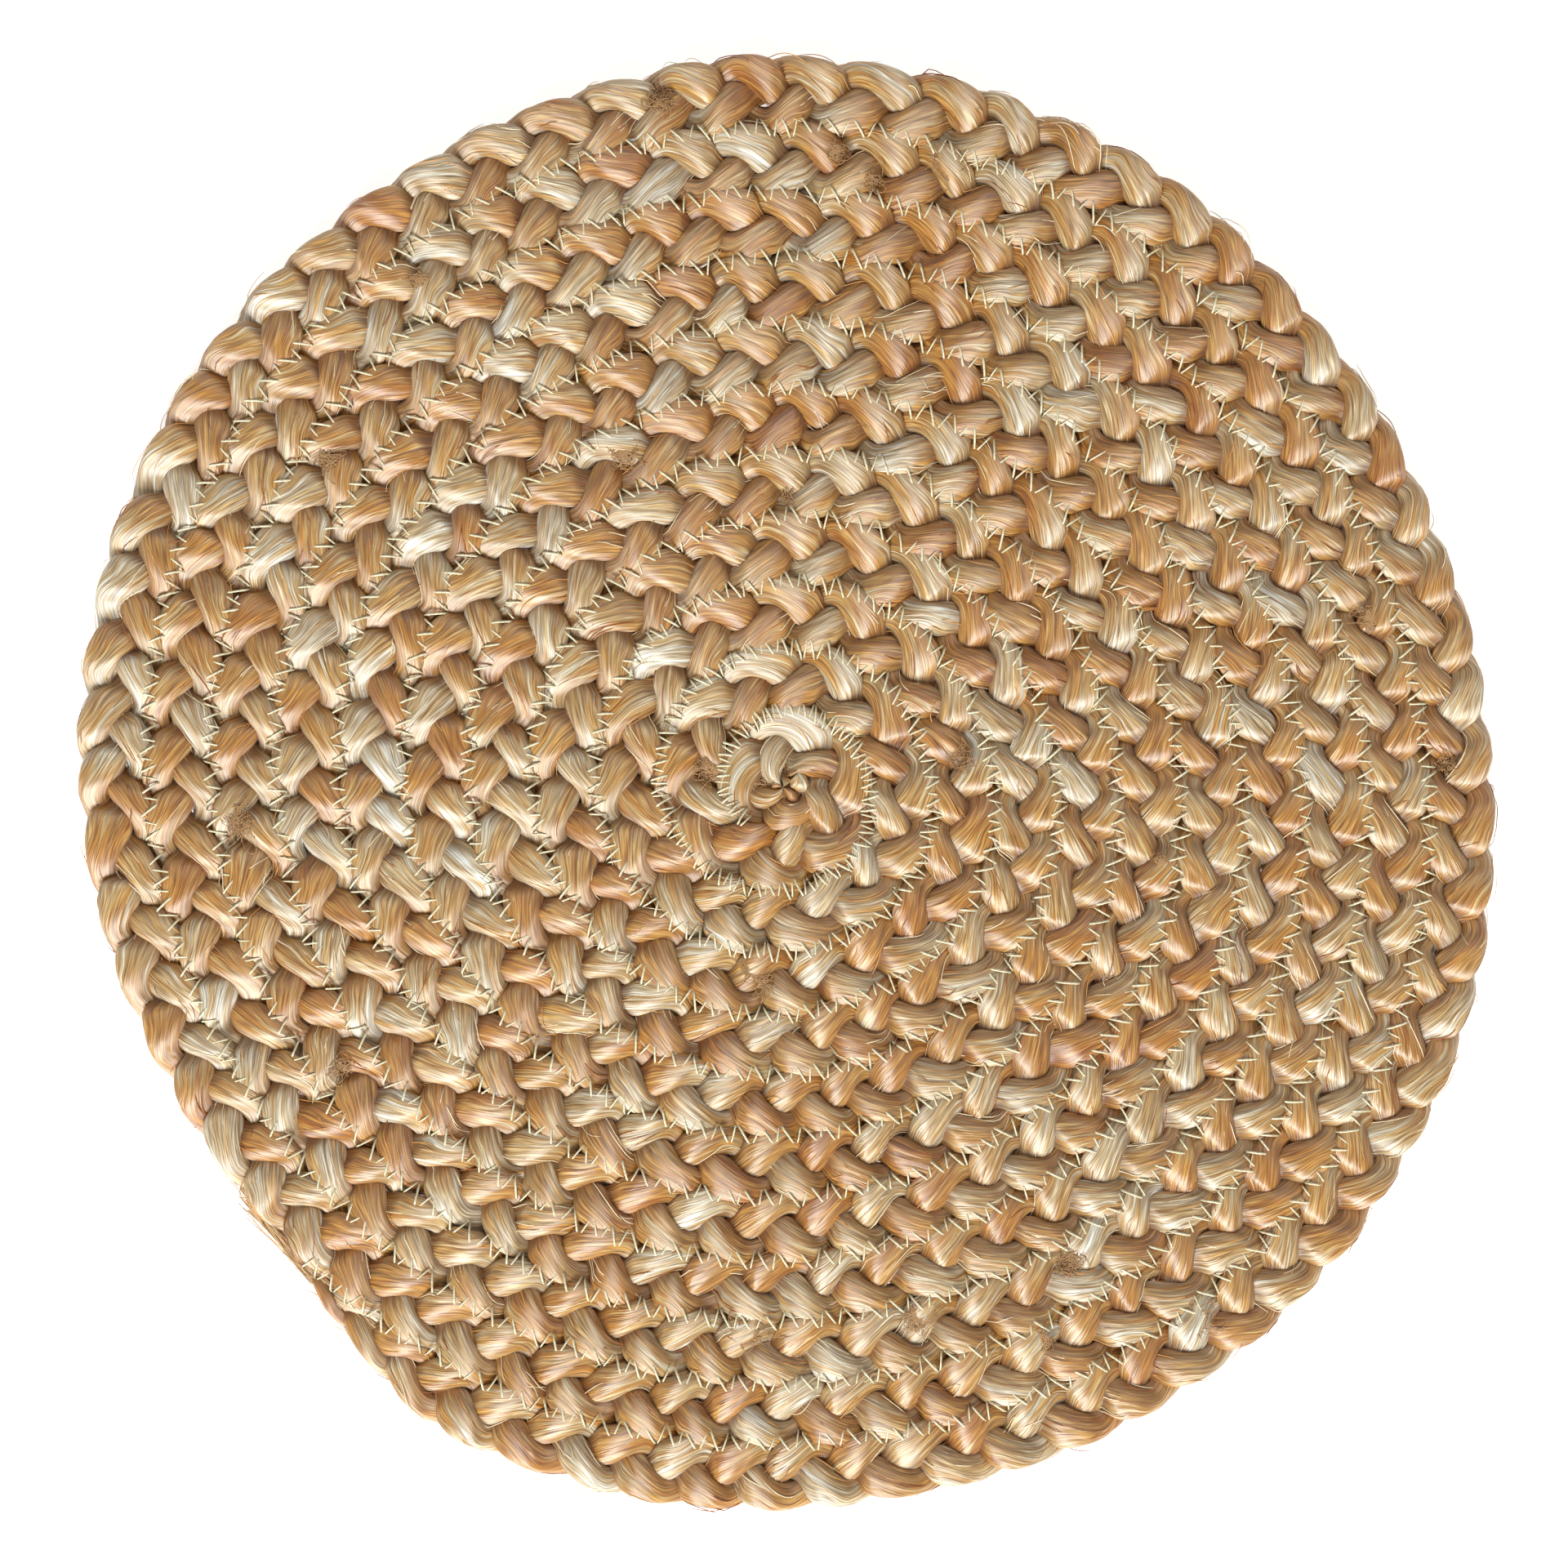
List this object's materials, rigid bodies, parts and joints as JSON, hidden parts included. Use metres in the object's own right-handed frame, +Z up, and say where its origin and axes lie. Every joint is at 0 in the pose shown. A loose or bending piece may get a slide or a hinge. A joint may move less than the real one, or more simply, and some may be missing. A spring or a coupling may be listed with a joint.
{
  "type": "round braided jute area rug",
  "caption": "Round flat area rug: a plaited jute braid wound in a spiral from the middle, its rounds joined by a zigzag-sewn seam.",
  "frame": {"origin": "on the floor, under the middle of the rug's outline", "axes": "+Z up out of the walking face; +Y towards the top of the reference view and +X to its right, so the braid's outer end lies towards -X -Y"},
  "size_m": [0.5854, 0.6008, 0.011],
  "materials": {
    "jute_golden": "combed jute fibre with a silky sheen",
    "jute_pale": "combed jute fibre with a silky sheen",
    "jute_tan": "combed jute fibre with a silky sheen",
    "sewing_thread": "smooth spun polyester thread"
  },
  "bodies": {
    "root": {"strand_a": "jute_golden", "strand_b": "jute_pale", "strand_c": "jute_tan", "needle_thread": "sewing_thread", "bobbin_thread": "sewing_thread"}
  },
  "joints": []
}
